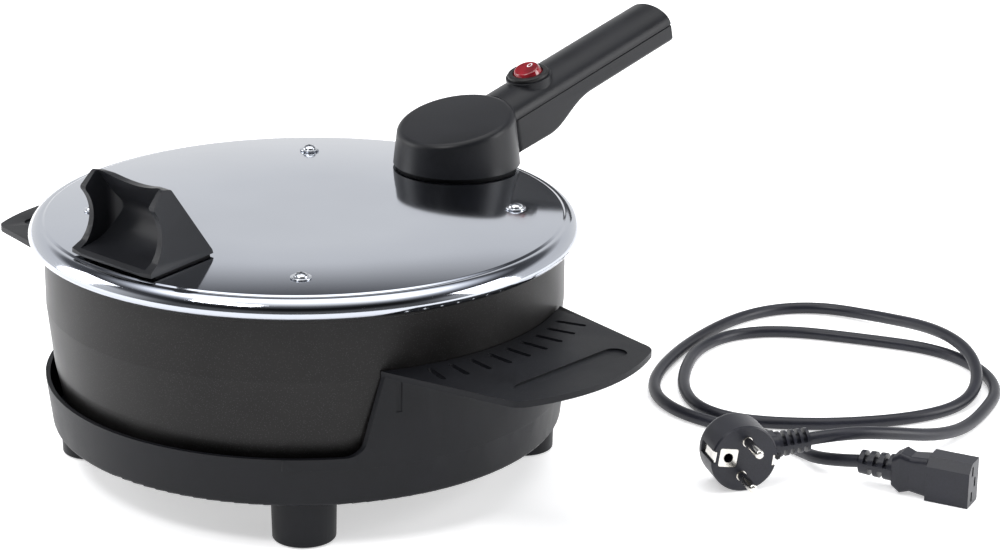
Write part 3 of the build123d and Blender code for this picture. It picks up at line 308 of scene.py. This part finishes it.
def fixings_tree():
    """Geometry nodes: a pan-head screw with a cross drive over a flat washer, at every point."""
    made = bpy.data.node_groups.new("screws_on_washers", "GeometryNodeTree")
    sockets = made.interface
    sockets.new_socket("Geometry", in_out="INPUT", socket_type="NodeSocketGeometry")
    for name, value in (("Head Radius", 3.9), ("Head Height", 2.0), ("Washer Radius", 5.4),
                        ("Washer Thickness", 0.9), ("Seed", 4)):
        kind = "NodeSocketInt" if name == "Seed" else "NodeSocketFloat"
        socket = sockets.new_socket(name, in_out="INPUT", socket_type=kind)
        socket.default_value = value
    sockets.new_socket("Material", in_out="INPUT", socket_type="NodeSocketMaterial")
    sockets.new_socket("Geometry", in_out="OUTPUT", socket_type="NodeSocketGeometry")
    given = node(made, "NodeGroupInput").outputs

    # every size in the tree, worked out from the inputs in this order
    sizes = {socket.name: socket for socket in given}
    for name, operation, first, second in (
        ("radius", "MULTIPLY", "Head Radius", MM),
        ("height", "MULTIPLY", "Head Height", MM),
        ("outer", "MULTIPLY", "Washer Radius", MM),
        ("thick", "MULTIPLY", "Washer Thickness", MM),
        ("half thick", "MULTIPLY", "thick", 0.5),
        ("corner", "MULTIPLY", "thick", 0.4),
        ("hole", "MULTIPLY", "radius", 0.55),
        ("rim sum", "ADD", "outer", "hole"),
        ("middle", "MULTIPLY", "rim sum", 0.5),
        ("breadth", "SUBTRACT", "outer", "hole"),
        ("slot length", "MULTIPLY", "radius", 1.15),
        ("slot width", "MULTIPLY", "radius", 0.26),
        ("slot rise", "MULTIPLY", "height", 1.05),
        ("slot height", "ADD", "thick", "slot rise"),
    ):
        sizes[name] = node(made, "ShaderNodeMath", {
            0: sizes.get(first, first), 1: sizes.get(second, second)},
            operation=operation).outputs[0]
    # the head: the upper half of a flattened ball, with a cross cut in its top
    ball = node(made, "GeometryNodeMeshUVSphere", {"Segments": 48, "Rings": 24, "Radius": 1.0})
    size = node(made, "ShaderNodeCombineXYZ", {
        0: sizes["radius"], 1: sizes["radius"], 2: sizes["height"]})
    head = node(made, "GeometryNodeTransform", {
        "Geometry": ball.outputs["Mesh"], "Scale": size.outputs[0],
        "Translation": node(made, "ShaderNodeCombineXYZ", {2: sizes["thick"]}).outputs[0]})
    cutters = []
    for wide, deep in (("slot length", "slot width"), ("slot width", "slot length")):
        bar = node(made, "ShaderNodeCombineXYZ", {
            0: sizes[wide], 1: sizes[deep], 2: sizes["height"]})
        cube = node(made, "GeometryNodeMeshCube", {"Size": bar.outputs[0]})
        raised = node(made, "ShaderNodeCombineXYZ", {2: sizes["slot height"]})
        cutters.append(node(made, "GeometryNodeTransform", {
            "Geometry": cube.outputs["Mesh"], "Translation": raised.outputs[0]}))
    cut = node(made, "GeometryNodeMeshBoolean", {"Mesh 1": head.outputs[0]},
               operation="DIFFERENCE", solver="EXACT")
    for cutter in cutters:
        made.links.new(cutter.outputs[0], cut.inputs["Mesh 2"])
    # the washer: a flat ring with rounded edges
    path = node(made, "GeometryNodeCurvePrimitiveCircle", {
        "Resolution": 64, "Radius": sizes["middle"]})
    band = node(made, "GeometryNodeCurvePrimitiveQuadrilateral", {
        "Width": sizes["breadth"], "Height": sizes["thick"]})
    rounded = node(made, "GeometryNodeFilletCurve", {
        "Curve": band.outputs[0], "Radius": sizes["corner"], "Count": 3},
        mode="POLY")
    ring = node(made, "GeometryNodeCurveToMesh", {
        "Curve": path.outputs[0], "Profile Curve": rounded.outputs[0], "Fill Caps": False})
    seated = node(made, "GeometryNodeTransform", {
        "Geometry": ring.outputs[0], "Translation": node(
            made, "ShaderNodeCombineXYZ", {2: sizes["half thick"]}).outputs[0]})
    both = node(made, "GeometryNodeJoinGeometry")
    made.links.new(cut.outputs["Mesh"], both.inputs[0])
    made.links.new(seated.outputs[0], both.inputs[0])
    turn = node(made, "FunctionNodeRandomValue", {
        "Min": (0, 0, -pi), "Max": (0, 0, pi), "Seed": given["Seed"]}, data_type="FLOAT_VECTOR")
    placed = node(made, "GeometryNodeInstanceOnPoints", {
        "Points": given["Geometry"], "Instance": both.outputs[0], "Rotation": turn.outputs[0]})
    real = node(made, "GeometryNodeRealizeInstances", {"Geometry": placed.outputs[0]})
    done = node(made, "GeometryNodeSetMaterial", {
        "Geometry": real.outputs[0], "Material": given["Material"]})
    smooth = node(made, "GeometryNodeSetShadeSmooth", {"Geometry": done.outputs[0]})
    node(made, "NodeGroupOutput", {"Geometry": smooth.outputs[0]})
    return made


def grown(name, points, tree, values):
    """Run a geometry tree on points given in mm; return its result as one plain mesh."""
    seeds = bpy.data.meshes.new(name + "_points")
    seeds.from_pydata([[value * MM for value in point] for point in points], [], [])
    carrier = bpy.data.objects.new(name + "_points", seeds)
    bpy.context.scene.collection.objects.link(carrier)
    grow = carrier.modifiers.new("grow", "NODES")
    grow.node_group = tree
    for item in tree.interface.items_tree:
        if item.in_out == "INPUT" and item.name in values:
            grow[item.identifier] = values[item.name]
    bpy.context.view_layer.update()
    shown = carrier.evaluated_get(bpy.context.evaluated_depsgraph_get())
    mesh = bpy.data.meshes.new_from_object(shown)
    mesh.name = name
    carrier.modifiers.remove(grow)
    bpy.data.objects.remove(carrier)
    mesh.set_sharp_from_angle(angle=radians(38))
    return mesh


screw_places = [(LID_SCREW_CIRCLE * cos(radians(a)), LID_SCREW_CIRCLE * sin(radians(a)), LID_TOP)
                for a in LID_SCREW_ANGLES]
lid_fixings = grown("lid_fixings", screw_places, fixings_tree(), {"Material": ZINC})
piece("lid_fixings", lid_fixings, "lid", ["lid_screws", "lid_washers"])

# ------------------------------------------------------------------ spun lid sheet
# radius and height in mm: flat top, a shallow crease, then the rolled rim and back inside
LID_SECTION = [
    (0, 136.0), (60, 136.0), (135.8, 136.0), (136.5, 135.85), (137.1, 135.35), (137.7, 135.2),
    (138.6, 135.3), (140.0, 135.0), (141.4, 134.3), (142.8, 133.1), (144.0, 131.4),
    (144.7, 129.9), (145, 128.9), (144.9, 127.8), (144.4, 126.6), (143.4, 125.5),
    (142.0, 124.9), (140.4, 124.6), (140.4, 125.4), (141.8, 125.7), (142.8, 126.2),
    (143.6, 127.2), (144.1, 128.2), (144.2, 129.0), (144.0, 129.6), (143.3, 131.1),
    (142.2, 132.5), (141.0, 133.6), (139.8, 134.2), (138.6, 134.5), (137.2, 134.4),
    (136.3, 134.9), (135.4, 135.2), (0, 135.2),
]


def spun(name, section, material, turns=256):
    """A closed section turned round the Z axis; its ends lie on the axis."""
    mesh = bpy.data.meshes.new(name)
    points, faces = [], []
    for step in range(turns):
        a = 2 * pi * step / turns
        points += [(r * cos(a) * MM, r * sin(a) * MM, z * MM) for r, z in section]
    count = len(section)
    for step in range(turns):
        here, there = step * count, (step + 1) % turns * count
        for i in range(count - 1):
            faces.append((here + i + 1, there + i + 1, there + i, here + i))
    mesh.from_pydata(points, [], faces)
    shape = bmesh.new()
    shape.from_mesh(mesh)
    bmesh.ops.remove_doubles(shape, verts=shape.verts, dist=0.001 * MM)
    bmesh.ops.recalc_face_normals(shape, faces=shape.faces)
    shape.to_mesh(mesh)
    shape.free()
    mesh.materials.append(material)
    mesh.shade_smooth()
    return mesh


piece("lid_sheet", spun("lid_sheet", LID_SECTION, STEEL), "lid", ["lid_shell"])

# ------------------------------------------------------------------ off mark on the rocker
WHITE = moulded("white_pad_print", "#d8d8da", "#f0f0f2", 1.0, 0.5, relief=0.0)
HANDLE_SLOPE, ROCKER_REST_TILT = 13.0, 9.0
ROCKER_PIVOT = Vector((0, 175.52, 175.20))
rocker_place = Matrix.Translation(ROCKER_PIVOT * MM) @ Matrix.Rotation(
    radians(HANDLE_SLOPE + ROCKER_REST_TILT), 4, "X")


def oval_mark(name, across, along, line, height, forward):
    """A thin raised oval, as printed on a rocker to mark off."""
    mesh = bpy.data.meshes.new(name)
    points, faces = [], []
    around, section = 40, 8
    for i in range(around):
        a = 2 * pi * i / around
        for j in range(section):
            b = 2 * pi * j / section
            out = 1 + line * cos(b) / across
            points.append(rocker_place @ (Vector((
                across * out * cos(a), forward + along * out * sin(a),
                height + 0.3 * line * sin(b))) * MM))
    for i in range(around):
        for j in range(section):
            k, m = (i + 1) % around, (j + 1) % section
            faces.append((i * section + j, k * section + j, k * section + m, i * section + m))
    mesh.from_pydata(points, [], faces)
    mesh.materials.append(WHITE)
    mesh.shade_smooth()
    return mesh


piece("off_mark", oval_mark("off_mark", 1.1, 1.6, 0.28, 5.42, 3.2), "rocker", [])

# ------------------------------------------------------------------ mains lead
CORD_ROUTE = [
    (219.75, 154.6, 21.58), (231.6, 173.1, 23.2), (243, 199, 18.5), (249.5, 231, 9.5),
    (248, 263, 3.6), (241.5, 293, 3.5), (230, 325, 3.5), (204, 348.5, 3.5), (167, 358.5, 3.5),
    (124, 342.5, 3.5), (79, 321, 3.5), (60, 292, 3.5), (62, 259, 3.5), (78, 228, 3.5),
    (97, 203, 3.5), (119, 187, 3.5), (143, 185, 3.5), (167, 197, 3.5), (195, 222, 3.5),
    (219, 257, 3.5), (228, 292, 3.5), (219, 322, 7.5), (196, 347, 13.5), (160, 365, 13.5),
    (108, 378, 5), (66, 369, 3.5), (45, 332, 3.5), (49, 274, 3.5), (66, 219, 3.5),
    (87, 187, 3.5), (115, 173, 3.5), (146, 174, 3.5), (177, 181, 3.5), (200, 175, 3.5),
    (222, 165.8, 7), (244.72, 168.95, 12),
]
CORD_DIAMETER = 7.0

curve = bpy.data.curves.new("lead_flex", "CURVE")
curve.dimensions = "3D"
curve.bevel_depth = CORD_DIAMETER / 2 * MM
curve.bevel_resolution = 6
curve.resolution_u = 10
curve.use_fill_caps = True
line = curve.splines.new("NURBS")
line.points.add(len(CORD_ROUTE) - 1)
for spot, place in zip(line.points, CORD_ROUTE):
    spot.co = (*[value * MM for value in place], 1)
line.order_u = 3
line.use_endpoint_u = True
curve.materials.append(PVC)
lead = bpy.data.objects.new("lead_flex", curve)
bpy.context.scene.collection.objects.link(lead)
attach(lead, "lead")
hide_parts("lead_cord")

# ------------------------------------------------------------------ floor, light and camera


def stage_floor():
    """A wide lit table under the object."""
    mesh = bpy.data.meshes.new("floor")
    shape = bmesh.new()
    bmesh.ops.create_grid(shape, x_segments=2, y_segments=2, size=6)
    shape.to_mesh(mesh)
    shape.free()
    floor = bpy.data.objects.new("floor", mesh)
    bpy.context.scene.collection.objects.link(floor)
    # matt white acrylic of a light table
    made, tree, shader, place = blank("light_table_acrylic")
    fibres = node(tree, "ShaderNodeTexNoise", {"Vector": place, "Scale": per_mm(3)})
    tree.links.new(ramp(tree, fibres.outputs["Fac"], [(0.3, "#f4f4f5"), (0.7, "#fafafb")]),
                   shader.inputs["Base Color"])
    shader.inputs["Roughness"].default_value = 0.9
    # lit from below, as a light table is
    shader.inputs["Emission Color"].default_value = linear("#ffffff")
    shader.inputs["Emission Strength"].default_value = 0.5
    mesh.materials.append(made)


stage_floor()


def softbox(name, place, aim, wide, high, power, colour="#ffffff"):
    """A rectangular studio light."""
    lamp = bpy.data.lights.new(name, "AREA")
    lamp.shape = "RECTANGLE"
    lamp.size, lamp.size_y = wide, high
    lamp.energy = power
    lamp.color = linear(colour)[:3]
    made = bpy.data.objects.new(name, lamp)
    made.location = place
    made.rotation_euler = (Vector(aim) - Vector(place)).to_track_quat("-Z", "Y").to_euler()
    bpy.context.scene.collection.objects.link(made)


softbox("side_right", (1.55, 1.15, 0.75), (0.1, 0.1, 0.1), 0.9, 1.3, 22)
softbox("side_left", (-1.6, -1.0, 0.8), (0, 0, 0.1), 0.8, 1.2, 14)

softbox("front_high", (0.1, -1.5, 2.1), (0, -0.1, 0.13), 0.9, 0.5, 22)

# White paper behind and beside, a dark ceiling above it, a wide white bank overhead
world = bpy.data.worlds.new("studio")
world.use_nodes = True
bpy.context.scene.world = world
sky = world.node_tree
sky.nodes.clear()
way = node(sky, "ShaderNodeTexCoord").outputs["Generated"]
height = node(sky, "ShaderNodeSeparateXYZ", {0: way})
glow = ramp(sky, height.outputs["Z"], [
    (0.0, "#ffffff"), (0.40, "#f3f4f6"), (0.52, "#6c6d71"), (0.66, "#4c4d50"),
    (0.80, "#c8cad0"), (0.88, "#ffffff"), (1.0, "#ffffff")])
# overhead the bank is brighter than the paper
lift = node(sky, "ShaderNodeMapRange", {
    "Value": height.outputs["Z"], "From Min": 0.72, "From Max": 0.9, "To Min": 1.05,
    "To Max": 2.9})
# the side that the camera stands on is unlit, low down
behind = node(sky, "ShaderNodeVectorMath", {0: way, 1: (0.67, -0.74, 0.0)},
              operation="DOT_PRODUCT")
unlit = node(sky, "ShaderNodeMapRange", {
    "Value": behind.outputs["Value"], "From Min": 0.0, "From Max": 0.55, "To Min": 1.0,
    "To Max": 0.15})
strength = node(sky, "ShaderNodeMath", {
    0: lift.outputs["Result"], 1: unlit.outputs["Result"]}, operation="MULTIPLY")
light = node(sky, "ShaderNodeBackground", {"Color": glow, "Strength": strength.outputs[0]})
node(sky, "ShaderNodeOutputWorld", {"Surface": light.outputs["Background"]})

# Fitted viewpoint: right, up and backwards of the camera, and where it stands
RIGHT = Vector((0.738235, 0.674479, 0.009351))
UP = Vector((-0.226348, 0.234636, 0.945364))
BACK = Vector((0.635434, -0.700017, 0.325884))
STANDPOINT = Vector((1.026139, -0.977179, 0.586753))
view = bpy.data.cameras.new("studio_camera")
view.sensor_width = 36.0
view.lens = 101.14
view.clip_start, view.clip_end = 0.05, 30
camera = bpy.data.objects.new("studio_camera", view)
camera.matrix_world = Matrix((
    (RIGHT.x, UP.x, BACK.x, STANDPOINT.x),
    (RIGHT.y, UP.y, BACK.y, STANDPOINT.y),
    (RIGHT.z, UP.z, BACK.z, STANDPOINT.z),
    (0, 0, 0, 1),
))
bpy.context.scene.collection.objects.link(camera)
bpy.context.scene.camera = camera
bpy.context.scene.view_settings.view_transform = "Standard"
